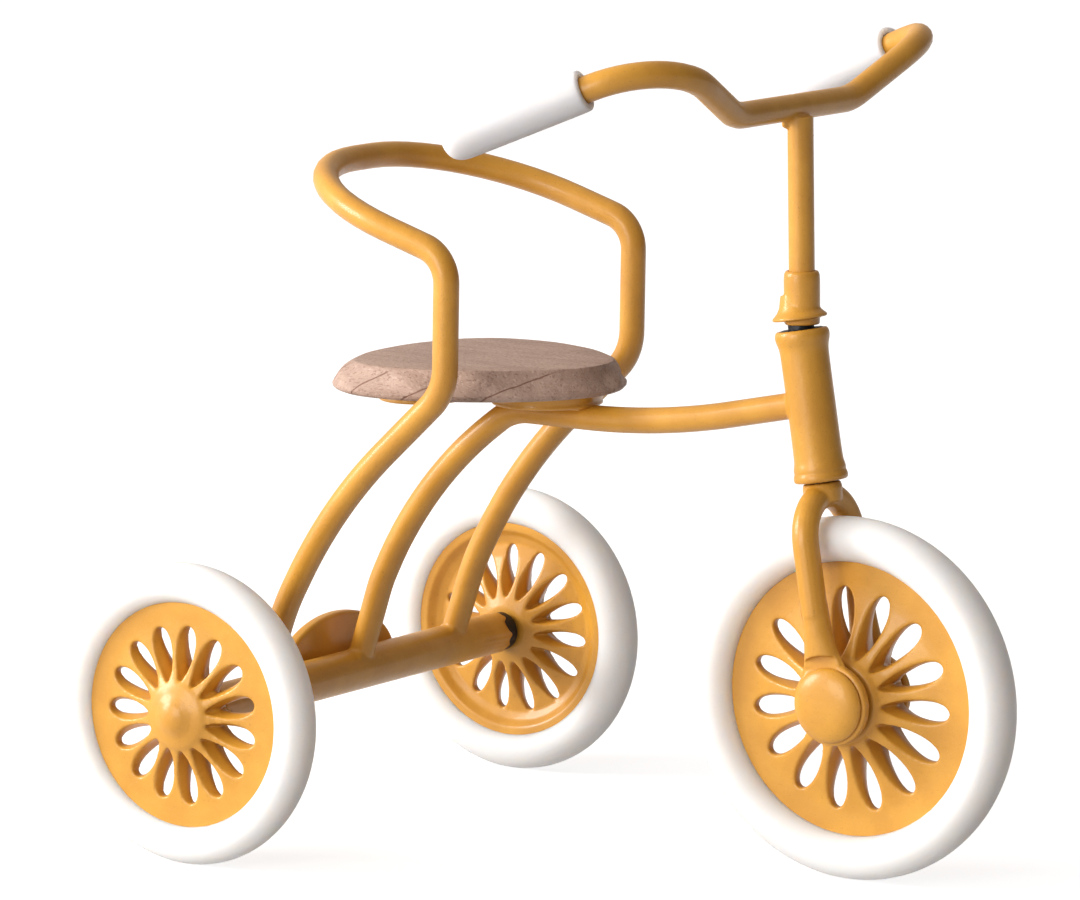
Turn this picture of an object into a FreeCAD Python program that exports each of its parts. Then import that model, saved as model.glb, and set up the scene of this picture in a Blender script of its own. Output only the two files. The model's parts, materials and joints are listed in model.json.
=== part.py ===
"""Doll-size tricycle: a bent wire frame, a beech saddle, cast slotted wheels and soft tyres.

Millimetres. +X is forward, +Y is the rider's left, +Z is up. The origin lies on the ground
below the middle of the outer box. Every wheel is straight ahead.
"""
import FreeCAD, Part
import math
import os

V = FreeCAD.Vector

# ---- driving dimensions -------------------------------------------------------------------
WIRE_D = 3.05                 # painted wire of the frame, the arm rail and the handlebar
SIDES = {"right": -1, "left": 1}

REAR_R = 17.7                 # rear tyre radius, so also the rear axle height
FRONT_R = 21.0                # front tyre radius, so also the front axle height
REAR_X = -36.3
FRONT_X = 33.0
REAR_TRACK = 68.0             # between the centre planes of the rear wheels

RAKE = 8.9                    # backward lean of the steering axis, degrees
TRAIL = 0.35                  # the steering axis passes this far behind the front axle
RUN_GAP = 0.07                # radial clearance of every running fit

AXLE_TUBE_D = 5.0
AXLE_TUBE_LENGTH = 61.8
REAR_ROD_D = 2.44
FRONT_PIN_D = 2.4
STEERER_D = 3.0

RAIL_HALF_WIDTH = 19.7        # the arm rail's sides, from the middle plane
SEAT_BOTTOM_Z = 53.5
SEAT_TOP_Z = 57.0
SEAT_PLATE_T = 0.8
STRIP_HALF_WIDTH = 3.5

SLOTS = 15                    # teardrop slots in each wheel disc

# ---- values worked out from them ----------------------------------------------------------
WIRE_R = WIRE_D / 2
UP_THE_STEM = V(-math.sin(math.radians(RAKE)), 0, math.cos(math.radians(RAKE)))
FRONT_AXLE = V(FRONT_X, 0, FRONT_R)
STEERING_FOOT = V(FRONT_X - TRAIL, 0, FRONT_R)
SLOT_PITCH = 360 / SLOTS


# ---- helpers ------------------------------------------------------------------------------
def rounded_path(points, radii):
    """Straight runs joined by tangent arcs, one radius for each inner point."""
    edges = []
    start = points[0]
    for before, corner, after, radius in zip(points, points[1:], points[2:], radii):
        back = (before - corner).normalize()
        ahead = (after - corner).normalize()
        half_angle = back.getAngle(ahead) / 2
        reach = radius / math.tan(half_angle)
        depth = radius / math.sin(half_angle) - radius
        arc_start = corner + back * reach
        arc_middle = corner + (back + ahead).normalize() * depth
        arc_end = corner + ahead * reach
        edges.append(Part.LineSegment(start, arc_start).toShape())
        edges.append(Part.Arc(arc_start, arc_middle, arc_end).toShape())
        start = arc_end
    edges.append(Part.LineSegment(start, points[-1]).toShape())
    return Part.Wire(edges)


def wire_along(points, radii, radius=WIRE_R):
    """A round wire bent along rounded_path."""
    path = rounded_path(points, radii)
    section = Part.Wire(Part.makeCircle(radius, points[0], points[1] - points[0]))
    return path.makePipeShell([section], True, False)


def cylinder(radius, start, end):
    """A solid cylinder between two points."""
    along = end - start
    return Part.makeCylinder(radius, along.Length, start, along)


def across(radius, y_low, y_high, x, z):
    """A solid cylinder along Y."""
    return cylinder(radius, V(x, y_low, z), V(x, y_high, z))


def turned_about_y(profile):
    """A closed (radius, y) profile turned about the Y axis through the origin."""
    corners = [V(radius, y, 0) for radius, y in profile]
    face = Part.Face(Part.makePolygon(corners + corners[:1]))
    return face.revolve(V(0, 0, 0), V(0, 1, 0), 360)


def turned_about_steering(profile):
    """A closed (radius, height) profile turned about the steering axis.

    Heights run up the axis from its foot, level with the front axle.
    """
    corners = [V(radius, 0, height) for radius, height in profile]
    face = Part.Face(Part.makePolygon(corners + corners[:1]))
    solid = face.revolve(V(0, 0, 0), V(0, 0, 1), 360)
    solid.rotate(V(0, 0, 0), V(0, 1, 0), -RAKE)
    solid.translate(STEERING_FOOT)
    return solid


def up_steering(height, side=0.0):
    """The point at this height up the steering axis, and this far to the left."""
    return STEERING_FOOT + UP_THE_STEM * height + V(0, side, 0)


def dome(base_radius, height):
    """A spherical cap standing on the XZ plane, bulging towards +Y."""
    sphere_radius = (base_radius ** 2 + height ** 2) / (2 * height)
    ball = Part.makeSphere(sphere_radius, V(0, height - sphere_radius, 0))
    keep = across(base_radius * 2, 0, height * 2, 0, 0)
    return ball.common(keep)


# ---- wheels -------------------------------------------------------------------------------
def slot_cutter(inner_centre, inner_radius, outer_centre, outer_radius):
    """A teardrop prism along Y, pointing at the hub, from a small and a large arc."""
    span = outer_centre - inner_centre
    lean = math.asin((outer_radius - inner_radius) / span)
    tangent = V(-math.sin(lean), 0, math.cos(lean))
    mirror = V(-math.sin(lean), 0, -math.cos(lean))
    small = V(inner_centre, 0, 0)
    large = V(outer_centre, 0, 0)
    outline = Part.Wire([
        Part.LineSegment(small + tangent * inner_radius, large + tangent * outer_radius).toShape(),
        Part.Arc(large + tangent * outer_radius, large + V(outer_radius, 0, 0),
                 large + mirror * outer_radius).toShape(),
        Part.LineSegment(large + mirror * outer_radius, small + mirror * inner_radius).toShape(),
        Part.Arc(small + mirror * inner_radius, small - V(inner_radius, 0, 0),
                 small + tangent * inner_radius).toShape(),
    ])
    prism = Part.Face(outline).extrude(V(0, 20, 0))
    prism.translate(V(0, -10, 0))
    return prism


def wheel_disc(profile, bore_radius, slot, phase):
    """A slotted disc about the Y axis, its outer face towards +Y."""
    disc = turned_about_y(profile)
    cutters = [across(bore_radius, -10, 10, 0, 0)]
    for number in range(SLOTS):
        cutter = slot_cutter(*slot)
        cutter.rotate(V(0, 0, 0), V(0, -1, 0), phase + number * SLOT_PITCH)
        cutters.append(cutter)
    return disc.cut(cutters)


def tyre(outer_radius, thickness, width, disc_profile):
    """An oval ring with a groove that fits the disc's edge."""
    centre = V(outer_radius - thickness / 2, 0, 0)
    oval = Part.Ellipse(V(centre.x, width / 2, 0), V(centre.x - thickness / 2, 0, 0), centre)
    ring = Part.Face(Part.Wire(oval.toShape())).revolve(V(0, 0, 0), V(0, 1, 0), 360)
    return ring.cut(turned_about_y(disc_profile))


# half profiles as (radius, y) from the outer face round to the inner face
REAR_DISC = [(0, 2.6), (3.7, 2.6), (4.3, 2.1), (10.6, 1.1), (13.6, 1.1),
             (13.6, -1.4), (10.6, -1.4), (4.0, -2.1), (2.9, -2.5), (0, -2.5)]
FRONT_DISC = [(0, 3.4), (4.6, 3.4), (5.2, 2.9), (13.2, 0.6), (16.6, 0.6),
              (16.6, -0.6), (13.2, -0.6), (5.2, -2.9), (4.6, -3.4), (0, -3.4)]
REAR_SLOT = (4.9, 0.4, 9.2, 1.05)
FRONT_SLOT = (6.3, 0.45, 11.6, 1.25)
HUB_FACE = REAR_DISC[0][1]
ROD_HALF_LENGTH = REAR_TRACK / 2 + HUB_FACE + 0.3
REAR_PHASES = {"right": 0.0, "left": 19.0}
FRONT_PHASE = -2.5


def rear_wheel(side):
    """The disc, the tyre and the hub cap of one rear wheel, in place."""
    disc = wheel_disc(REAR_DISC, REAR_ROD_D / 2, REAR_SLOT, REAR_PHASES[side])
    ring = tyre(REAR_R, 4.8, 5.0, REAR_DISC)
    cap = dome(2.9, 1.0)
    cap.translate(V(0, HUB_FACE, 0))
    cap = cap.cut(across(REAR_ROD_D / 2, 0, ROD_HALF_LENGTH - REAR_TRACK / 2, 0, 0))
    for piece in (disc, ring, cap):
        if side == "right":
            piece.rotate(V(0, 0, 0), V(0, 0, 1), 180)
        piece.translate(V(REAR_X, SIDES[side] * REAR_TRACK / 2, REAR_R))
    return disc, ring, cap


def rear_axle():
    """The rod that carries both rear wheels."""
    return across(REAR_ROD_D / 2, -ROD_HALF_LENGTH, ROD_HALF_LENGTH, REAR_X, REAR_R)


def front_wheel():
    """The disc, free on its pin, and its tyre."""
    disc = wheel_disc(FRONT_DISC, FRONT_PIN_D / 2 + RUN_GAP, FRONT_SLOT, FRONT_PHASE)
    ring = tyre(FRONT_R, 5.2, 6.0, FRONT_DISC)
    for piece in (disc, ring):
        piece.translate(FRONT_AXLE)
    return disc, ring


# ---- frame --------------------------------------------------------------------------------
HEAD_BOTTOM = 25.02           # heights up the steering axis from its foot
HEAD_TOP = 42.55
HEAD_R = 2.78
HEAD_LIP_R = 3.14
HEAD_LIP = 0.7


def head_tube():
    """The steering bearing tube, with a small lip at each end."""
    bore = STEERER_D / 2 + RUN_GAP
    return turned_about_steering([
        (bore, HEAD_BOTTOM), (HEAD_R, HEAD_BOTTOM), (HEAD_LIP_R, HEAD_BOTTOM + HEAD_LIP / 2),
        (HEAD_LIP_R, HEAD_BOTTOM + HEAD_LIP), (HEAD_R, HEAD_BOTTOM + 2 * HEAD_LIP),
        (HEAD_R, HEAD_TOP - 2 * HEAD_LIP), (HEAD_LIP_R, HEAD_TOP - HEAD_LIP),
        (HEAD_LIP_R, HEAD_TOP - HEAD_LIP / 2), (HEAD_R, HEAD_TOP), (bore, HEAD_TOP)])


def axle_tube():
    """The fixed tube that the rear axle turns in."""
    half = AXLE_TUBE_LENGTH / 2
    outer = across(AXLE_TUBE_D / 2, -half, half, REAR_X, REAR_R)
    bore = across(REAR_ROD_D / 2 + RUN_GAP, -half, half, REAR_X, REAR_R)
    return outer.cut(bore)


def axle_tube_space():
    """The solid cylinder that a foot welded to the axle tube is coped against."""
    half = AXLE_TUBE_LENGTH / 2
    return across(AXLE_TUBE_D / 2, -half, half, REAR_X, REAR_R)


def head_tube_space():
    """The solid cylinder that the main tube is coped against."""
    return cylinder(HEAD_R, up_steering(HEAD_BOTTOM), up_steering(HEAD_TOP))


def main_tube():
    """Centre stay and top run in one bent wire, from the axle tube to the head tube."""
    route = [V(REAR_X, 0, REAR_R), V(-32.7, 0, 28.6), V(-26.5, 0, 41.5), V(-13.6, 0, 50.9),
             V(6.7, 0, 50.5), up_steering(34.0)]
    wire = wire_along(route, [20, 50, 6.8, 93])
    return wire.cut([axle_tube_space(), head_tube_space()])


def arm_rail():
    """One closed-round wire: up both sides of the saddle and over behind the rider."""
    def side_points(sign):
        y = sign * RAIL_HALF_WIDTH
        return [V(REAR_X, y, REAR_R), V(-32.5, y, 28.6), V(-25.6, y, 41.0), V(-9.7, y, 55.5),
                V(-9.3, y, 71.1), V(-34.7, y, 79.5)]
    route = side_points(-1) + side_points(1)[::-1]
    radii = [30, 62, 6.5, 4.3, 18]
    wire = wire_along(route, radii + radii[::-1])
    return wire.cut(axle_tube_space())


def rear_plate():
    """The arched plate welded upright behind the axle tube."""
    half_width = 11.5
    arch = 6.7
    skirt = 2.5
    thickness = 1.6
    front = V(REAR_X - AXLE_TUBE_D / 2 + 0.1, 0, REAR_R)
    oval = Part.Ellipse(front + V(0, half_width, 0), front + V(0, 0, arch), front)
    oval_plate = Part.Face(Part.Wire(oval.toShape())).extrude(V(-thickness, 0, 0))
    upper_half = Part.makeBox(2 * thickness, 2 * half_width, arch,
                              front + V(-2 * thickness, -half_width, 0))
    skirt_plate = Part.makeBox(thickness, 2 * half_width, skirt,
                               front + V(-thickness, -half_width, -skirt))
    plate = oval_plate.common(upper_half).fuse(skirt_plate).removeSplitter()
    return plate.cut(axle_tube_space())


# ---- saddle -------------------------------------------------------------------------------
SADDLE_MIDDLE_X = -17.0
# half outlines of the saddle's widest line and of its flat top, from tail to nose
WIDE_OUTLINE = [(-34.0, 0), (-32.9, 8.6), (-28.6, 14.6), (-21.5, 17.1), (-12.3, 15.2),
                (-4.9, 10.5), (-0.9, 5.3), (0.3, 0)]
TOP_OUTLINE = [(-31.2, 0), (-30.2, 7.0), (-26.7, 12.9), (-20.8, 14.6), (-12.0, 12.5),
               (-5.7, 8.3), (-2.3, 4.4), (-1.3, 0)]
WIDEST_Z = SEAT_BOTTOM_Z + 0.7
# the two round dishes of the seat plate: middle x, bottom z, radius at bottom and at top
TAIL_DISH = (-26.5, 51.1, 4.9, 6.2)
NOSE_DISH = (-8.7, 51.9, 6.0, 6.8)
SCREW_R = 0.6
SCREW_HEAD_R = 1.2
SCREW_HEAD = 0.6
SCREW_IN_WOOD = 2.0


def saddle_wire(outline, z, scale=1.0):
    """One outline of the saddle, scaled about its middle, at one height."""
    left = [V(SADDLE_MIDDLE_X + (x - SADDLE_MIDDLE_X) * scale, y * scale, z)
            for x, y in outline]
    right = [V(point.x, -point.y, z) for point in left[-2:0:-1]]
    curve = Part.BSplineCurve()
    curve.interpolate(left + right, PeriodicFlag=True)
    return Part.Wire(curve.toShape())


def seat_screws():
    """Four small countersunk screws, driven up through the two dishes into the board."""
    screws = []
    for (x, bottom, _, _), screw_y in ((TAIL_DISH, 2.8), (NOSE_DISH, 4.0)):
        for y in (-screw_y, screw_y):
            under = V(x, y, bottom)
            head = Part.makeCone(SCREW_HEAD_R, SCREW_R, SCREW_HEAD, under)
            shank = Part.makeCylinder(SCREW_R, SEAT_BOTTOM_Z + SCREW_IN_WOOD - bottom, under)
            screws.append(head.fuse(shank).removeSplitter())
    return Part.makeCompound(screws)


def seat_board():
    """The beech board: a broad bevel above its widest line and a narrow one below."""
    widest = saddle_wire(WIDE_OUTLINE, WIDEST_Z)
    lower = Part.makeLoft([saddle_wire(WIDE_OUTLINE, SEAT_BOTTOM_Z, 0.965), widest], True, True)
    upper = Part.makeLoft([widest, saddle_wire(TOP_OUTLINE, SEAT_TOP_Z)], True, True)
    return lower.fuse(upper).cut(seat_screws().Solids)


def seat_plate():
    """The painted plate under the board: two round dishes joined by a narrow strip."""
    dishes = [Part.makeCone(bottom_r, top_r, SEAT_BOTTOM_Z - bottom, V(x, 0, bottom))
              for x, bottom, bottom_r, top_r in (TAIL_DISH, NOSE_DISH)]
    strip = Part.makeBox(NOSE_DISH[0] - TAIL_DISH[0], 2 * STRIP_HALF_WIDTH, SEAT_PLATE_T,
                         V(TAIL_DISH[0], -STRIP_HALF_WIDTH, SEAT_BOTTOM_Z - SEAT_PLATE_T))
    body = strip.fuse(dishes).removeSplitter()
    return body.cut(seat_screws().Solids + [main_tube()])


# ---- steering -----------------------------------------------------------------------------
FORK_R = 1.55
FORK_HALF_WIDTH = 5.1
FORK_BEND = 18.3              # height up the axis where the crown's half circle starts
TAB_R = 4.75
TAB_INNER_Y = 4.1
TAB_T = 1.2
COLLAR_BOTTOM = 43.7
COLLAR_TOP_Z = 69.8
COLLAR_NECK_R = 2.03
STEERER_TOP = 45.7
STEM_BOTTOM = V(26.15, 0, 67.0)
STEM_TOP = V(25.9, 0, 88.3)
STEM_R = 1.5
BAR_CENTRE = V(25.0, 0, 88.3)
BAR_RISE = V(28.1, 30.4, 96.6)
BAR_END = V(4.8, 36.8, 86.9)
BAR_STRAIGHT = 12.5
GRIP_R = 2.4
GRIP_LENGTH = 15.2


def mirrored_y(point):
    """The same point on the rider's other side."""
    return V(point.x, -point.y, point.z)


def fork():
    """An upside-down U of wire, its ends flattened into round tabs at the front axle."""
    flat_top = 9.0
    flat_bottom = 4.45        # just above the axle caps
    flat_half_width = 2.3
    flat_half_thickness = 0.56
    feet = {side: up_steering(flat_top, sign * FORK_HALF_WIDTH) for side, sign in SIDES.items()}
    bends = {side: up_steering(FORK_BEND, sign * FORK_HALF_WIDTH) for side, sign in SIDES.items()}
    crown = up_steering(FORK_BEND + FORK_HALF_WIDTH)
    path = Part.Wire([
        Part.LineSegment(feet["right"], bends["right"]).toShape(),
        Part.Arc(bends["right"], crown, bends["left"]).toShape(),
        Part.LineSegment(bends["left"], feet["left"]).toShape()])
    section = Part.Wire(Part.makeCircle(FORK_R, feet["right"], UP_THE_STEM))
    body = path.makePipeShell([section], True, False)
    forward = UP_THE_STEM.cross(V(0, -1, 0))
    for side, sign in SIDES.items():
        tab_middle = sign * (TAB_INNER_Y + TAB_T / 2)
        leg_end = up_steering(flat_bottom, tab_middle)
        flat = Part.Ellipse(leg_end + forward * flat_half_width,
                            leg_end + V(0, flat_half_thickness, 0), leg_end)
        flat_wire = Part.Wire(flat.toShape())
        round_section = Part.Wire(Part.makeCircle(FORK_R, feet[side], UP_THE_STEM))
        leg = Part.makeLoft([round_section, flat_wire], True, True)
        neck = Part.Face(flat_wire).extrude(UP_THE_STEM * -1.5)
        tab = across(TAB_R, tab_middle - TAB_T / 2, tab_middle + TAB_T / 2, FRONT_X, FRONT_R)
        body = body.fuse([leg, neck, tab])
    hole = across(FRONT_PIN_D / 2, -10, 10, FRONT_X, FRONT_R)
    return body.cut(hole).removeSplitter()


def front_axle_pin():
    """The fixed pin that the front wheel spins on, held in both tabs."""
    half = TAB_INNER_Y + TAB_T + 0.8
    return across(FRONT_PIN_D / 2, -half, half, FRONT_X, FRONT_R)


def axle_cap(side):
    """A domed cap closed over one end of the front axle pin."""
    rim = 0.3
    cap = across(4.35, 0, rim, 0, 0).fuse(dome(4.35, 1.3).translated(V(0, rim, 0)))
    cap = cap.removeSplitter().cut(across(FRONT_PIN_D / 2, 0, 0.8, 0, 0))
    if side == "right":
        cap.rotate(V(0, 0, 0), V(0, 0, 1), 180)
    cap.translate(FRONT_AXLE + V(0, SIDES[side] * (TAB_INNER_Y + TAB_T), 0))
    return cap


def steerer_space():
    """The steerer rod's full cylinder, from the crown's middle to its top end."""
    crown = FORK_BEND + FORK_HALF_WIDTH
    return cylinder(STEERER_D / 2, up_steering(crown), up_steering(STEERER_TOP))


def steerer_rod(fork_shape):
    """The dark rod that turns inside the head tube, coped onto the fork's crown."""
    return steerer_space().cut(fork_shape)


def stem_space():
    """The stem tube's full cylinder, up to the middle of the handlebar."""
    return cylinder(STEM_R, STEM_BOTTOM, STEM_TOP)


def stem_collar():
    """The bell-shaped collar that joins the leaning steerer rod to the upright stem."""
    flange = turned_about_steering([
        (0, COLLAR_BOTTOM), (2.9, COLLAR_BOTTOM), (3.14, COLLAR_BOTTOM + 0.25),
        (3.1, COLLAR_BOTTOM + 0.6), (2.6, COLLAR_BOTTOM + 1.2), (2.25, COLLAR_BOTTOM + 1.8),
        (COLLAR_NECK_R, COLLAR_BOTTOM + 2.5), (0, COLLAR_BOTTOM + 2.5)])
    up = (STEM_TOP - STEM_BOTTOM).normalize()
    neck_top = STEM_BOTTOM + up * (COLLAR_TOP_Z - STEM_BOTTOM.z)
    neck = cylinder(COLLAR_NECK_R, STEM_BOTTOM - up * 2.0, neck_top)
    return flange.fuse(neck).removeSplitter().cut([steerer_space(), stem_space()])


def handlebar():
    """The bent bar: level in the middle, rising outwards, then swept back and down."""
    corner = BAR_CENTRE + V(0, BAR_STRAIGHT, 0)
    left = [corner, BAR_RISE, BAR_END]
    route = [mirrored_y(point) for point in left[::-1]] + left
    return wire_along(route, [9.5, 8, 8, 9.5])


def grip(side, bar):
    """A soft sleeve with a ball end over one end of the handlebar."""
    end = V(BAR_END.x, SIDES[side] * BAR_END.y, BAR_END.z)
    rise = V(BAR_RISE.x, SIDES[side] * BAR_RISE.y, BAR_RISE.z)
    mouth = end + (rise - end).normalize() * GRIP_LENGTH
    sleeve = cylinder(GRIP_R, end, mouth).fuse(Part.makeSphere(GRIP_R, end))
    return sleeve.removeSplitter().cut(bar)


# ---- every node ---------------------------------------------------------------------------
def build():
    """All sub-parts by node name, each in its place."""
    fork_shape = fork()
    bar = handlebar()
    front_disc, front_tyre = front_wheel()
    nodes = {
        "main_tube": main_tube(),
        "head_tube": head_tube(),
        "axle_tube": axle_tube(),
        "arm_rail": arm_rail(),
        "rear_plate": rear_plate(),
        "seat_plate": seat_plate(),
        "seat_board": seat_board(),
        "seat_screws": seat_screws(),
        "rear_axle": rear_axle(),
        "fork": fork_shape,
        "front_axle_pin": front_axle_pin(),
        "steerer_rod": steerer_rod(fork_shape),
        "stem_collar": stem_collar(),
        "stem_tube": stem_space().cut(bar),
        "handlebar": bar,
        "front_disc": front_disc,
        "front_tyre": front_tyre,
    }
    for side in SIDES:
        disc, ring, cap = rear_wheel(side)
        nodes["rear_disc_" + side] = disc
        nodes["rear_tyre_" + side] = ring
        nodes["hub_cap_" + side] = cap
        nodes["axle_cap_" + side] = axle_cap(side)
        nodes["grip_" + side] = grip(side, bar)
    return nodes


os.makedirs("parts", exist_ok=True)
for name, shape in build().items():
    solids = Part.makeCompound(shape.Solids)
    assert shape.isValid() and shape.Solids, name
    solids.exportStep("parts/" + name + ".step")
    print(name, len(shape.Solids), round(shape.Volume, 1))
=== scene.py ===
"""A doll-size tricycle: the painted wire frame, carved saddle, cast wheels and soft tyres.

Pieces are modelled in millimetres, in the place the CAD gives, and end in metres.
"""
import json
import math

import bpy
from mathutils import Matrix, Vector, noise


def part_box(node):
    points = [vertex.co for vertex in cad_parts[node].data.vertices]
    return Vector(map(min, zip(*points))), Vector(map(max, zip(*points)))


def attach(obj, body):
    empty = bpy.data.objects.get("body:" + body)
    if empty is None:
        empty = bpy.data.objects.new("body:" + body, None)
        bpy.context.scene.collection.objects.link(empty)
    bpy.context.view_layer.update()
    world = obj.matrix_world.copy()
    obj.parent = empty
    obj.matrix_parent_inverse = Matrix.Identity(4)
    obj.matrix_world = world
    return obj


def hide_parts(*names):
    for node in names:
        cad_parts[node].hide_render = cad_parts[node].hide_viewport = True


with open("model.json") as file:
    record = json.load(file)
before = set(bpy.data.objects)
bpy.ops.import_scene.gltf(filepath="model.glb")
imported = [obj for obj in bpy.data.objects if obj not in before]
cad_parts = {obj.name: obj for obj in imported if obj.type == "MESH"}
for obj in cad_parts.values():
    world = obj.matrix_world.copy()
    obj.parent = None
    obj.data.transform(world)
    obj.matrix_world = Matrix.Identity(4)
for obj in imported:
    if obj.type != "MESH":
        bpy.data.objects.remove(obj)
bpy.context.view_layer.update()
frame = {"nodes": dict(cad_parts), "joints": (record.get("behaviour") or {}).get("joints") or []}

MM = 0.001
SIDES = {"right": -1, "left": 1}


def corner_box(node):
    """A CAD node's lowest and highest corners, in millimetres."""
    low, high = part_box(node)
    return low / MM, high / MM


def middle(node):
    """The middle of a CAD node's box, in millimetres."""
    low, high = corner_box(node)
    return (low + high) / 2


def half_height(node):
    """Half a CAD node's height, in millimetres: a wheel's radius."""
    low, high = corner_box(node)
    return (high - low).z / 2


# ---- sizes read from the frame ------------------------------------------------------------
REAR_AXLE = middle("rear_axle")
FRONT_AXLE = middle("front_axle_pin")
REAR_R = half_height("rear_tyre_left")
FRONT_R = half_height("front_tyre")
REAR_HALF_TRACK = middle("rear_tyre_left").y
STEERING = next(j for j in frame["joints"] if j["name"] == "steering_turn")
UP_THE_STEM = Vector(STEERING["axis"])
STEERING_FOOT = Vector(STEERING["pos_m"]) / MM
WIRE_R = 1.525


# ---- modelling helpers --------------------------------------------------------------------
def only(piece):
    """Selects this piece and nothing else."""
    if bpy.context.mode != "OBJECT":
        bpy.ops.object.mode_set(mode="OBJECT")
    bpy.ops.object.select_all(action="DESELECT")
    piece.select_set(True)
    bpy.context.view_layer.objects.active = piece


def nothing():
    """Selects nothing, so that the next primitive stands alone."""
    if bpy.context.mode != "OBJECT":
        bpy.ops.object.mode_set(mode="OBJECT")
    bpy.ops.object.select_all(action="DESELECT")


def edit(piece):
    """Opens this piece in edit mode with all of it selected."""
    only(piece)
    bpy.ops.object.mode_set(mode="EDIT")
    bpy.ops.mesh.select_all(action="SELECT")


def close_edit():
    """Back to object mode."""
    bpy.ops.object.mode_set(mode="OBJECT")


def modify(piece, kind, **settings):
    """Adds a modifier with these settings and applies it."""
    only(piece)
    modifier = piece.modifiers.new(kind.lower(), kind)
    for key, value in settings.items():
        setattr(modifier, key, value)
    bpy.ops.object.modifier_apply(modifier=modifier.name)
    return piece


def place(piece, matrix):
    """Moves the piece's mesh by this matrix, leaving its object at the origin."""
    only(piece)
    piece.matrix_world = matrix @ piece.matrix_world
    bpy.ops.object.transform_apply(location=True, rotation=True, scale=True)
    return piece


def stand(piece, foot, up):
    """Turns the piece's Z axis along up and puts its origin at foot."""
    turn = Vector((0, 0, 1)).rotation_difference(Vector(up)).to_matrix().to_4x4()
    return place(piece, Matrix.Translation(Vector(foot)) @ turn)


def on_wheel(piece, centre, outward):
    """Puts a piece built about Z on a wheel's centre, its Z towards outward (+1 left, -1 right)."""
    turn = Matrix.Rotation(math.radians(-90 * outward), 4, "X")
    return place(piece, Matrix.Translation(Vector(centre)) @ turn)


def copy_of(piece):
    """A separate copy with its own mesh."""
    only(piece)
    bpy.ops.object.duplicate(linked=False)
    return bpy.context.view_layer.objects.active


def cut(piece, tool, operation="DIFFERENCE"):
    """Cuts a piece with a tool, or keeps only what lies in both, and throws the tool away."""
    modify(piece, "BOOLEAN", operation=operation, object=tool, solver="EXACT")
    bpy.data.objects.remove(tool)


def joined(pieces):
    """Joins pieces into the first of them."""
    only(pieces[0])
    for piece in pieces[1:]:
        piece.select_set(True)
    bpy.ops.object.join()
    return pieces[0]


def drawn_line(points):
    """A chain of edges, drawn by extruding one vertex from point to point."""
    nothing()
    bpy.ops.mesh.primitive_plane_add(size=1, location=points[0])
    bpy.ops.object.mode_set(mode="EDIT")
    bpy.ops.mesh.merge(type="CENTER")
    for start, end in zip(points, points[1:]):
        step = Vector(end) - Vector(start)
        bpy.ops.mesh.extrude_vertices_move(TRANSFORM_OT_translate={"value": step})
    close_edit()
    line = bpy.context.object
    return place(line, Matrix.Identity(4))


def turned(profile, steps=72):
    """A closed (radius, height) profile spun about Z."""
    points = [(radius, 0, height) for radius, height in profile]
    piece = drawn_line(points + points[:1])
    edit(piece)
    bpy.ops.mesh.spin(steps=steps, angle=2 * math.pi, center=(0, 0, 0), axis=(0, 0, 1))
    bpy.ops.mesh.select_all(action="SELECT")
    bpy.ops.mesh.remove_doubles(threshold=0.002)
    bpy.ops.mesh.normals_make_consistent(inside=False)
    close_edit()
    return piece


def softened(piece, width, segments, angle):
    """Rounds every edge sharper than angle degrees."""
    return modify(piece, "BEVEL", width=width, segments=segments, limit_method="ANGLE",
                  angle_limit=math.radians(angle), use_clamp_overlap=True)


def cast(piece, voxel, rounds):
    """Turns overlapping shapes into one skin and softens it, as paint over metal does."""
    modify(piece, "REMESH", mode="VOXEL", voxel_size=voxel)
    return modify(piece, "SMOOTH", factor=0.5, iterations=rounds)


def bent_wire(corners, bends, radius=WIRE_R):
    """A round wire: straight runs and tangent bends, one bend radius for each inner corner."""
    corners = [Vector(corner) for corner in corners]
    stops = [(corners[0], None)]
    for before, corner, after, bend in zip(corners, corners[1:], corners[2:], bends):
        back = (before - corner).normalized()
        ahead = (after - corner).normalized()
        turn = math.pi - back.angle(ahead)
        reach = bend * math.tan(turn / 2)
        handle = 4 / 3 * math.tan(turn / 4) * bend
        stops.append((corner + back * reach, -back * handle))
        stops.append((corner + ahead * reach, -ahead * handle))
    stops.append((corners[-1], None))
    nothing()
    bpy.ops.curve.primitive_bezier_curve_add(radius=1, location=(0, 0, 0))
    wire = bpy.context.object
    wire.data.resolution_u = 14
    wire.data.bevel_depth = radius
    wire.data.bevel_resolution = 6
    wire.data.use_fill_caps = True
    spline = wire.data.splines[0]
    spline.bezier_points.add(len(stops) - 2)
    places = [stop for stop, _ in stops]
    for number, (point, (at, handle)) in enumerate(zip(spline.bezier_points, stops)):
        point.handle_left_type = point.handle_right_type = "FREE"
        point.co = at
        last = places[max(number - 1, 0)]
        following = places[min(number + 1, len(places) - 1)]
        point.handle_left = at + (last - at) / 3
        point.handle_right = at + (following - at) / 3
        if handle is not None and number % 2:
            point.handle_right = at + handle
        elif handle is not None:
            point.handle_left = at + handle
    only(wire)
    bpy.ops.object.convert(target="MESH")
    wire = bpy.context.object
    edit(wire)
    bpy.ops.mesh.remove_doubles(threshold=0.001)
    bpy.ops.mesh.normals_make_consistent(inside=False)
    close_edit()
    return wire


def finished(piece, name, body, material, stands_for=(), crease=38):
    """Names, shades, paints and mounts a piece, and shrinks it from millimetres to metres."""
    place(piece, Matrix.Scale(MM, 4))
    only(piece)
    bpy.ops.object.shade_smooth_by_angle(angle=math.radians(crease))
    piece.name = name
    piece.data.name = name
    piece.data.materials.clear()
    piece.data.materials.append(material)
    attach(piece, body)
    if stands_for:
        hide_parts(*stands_for)
    return piece


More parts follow.
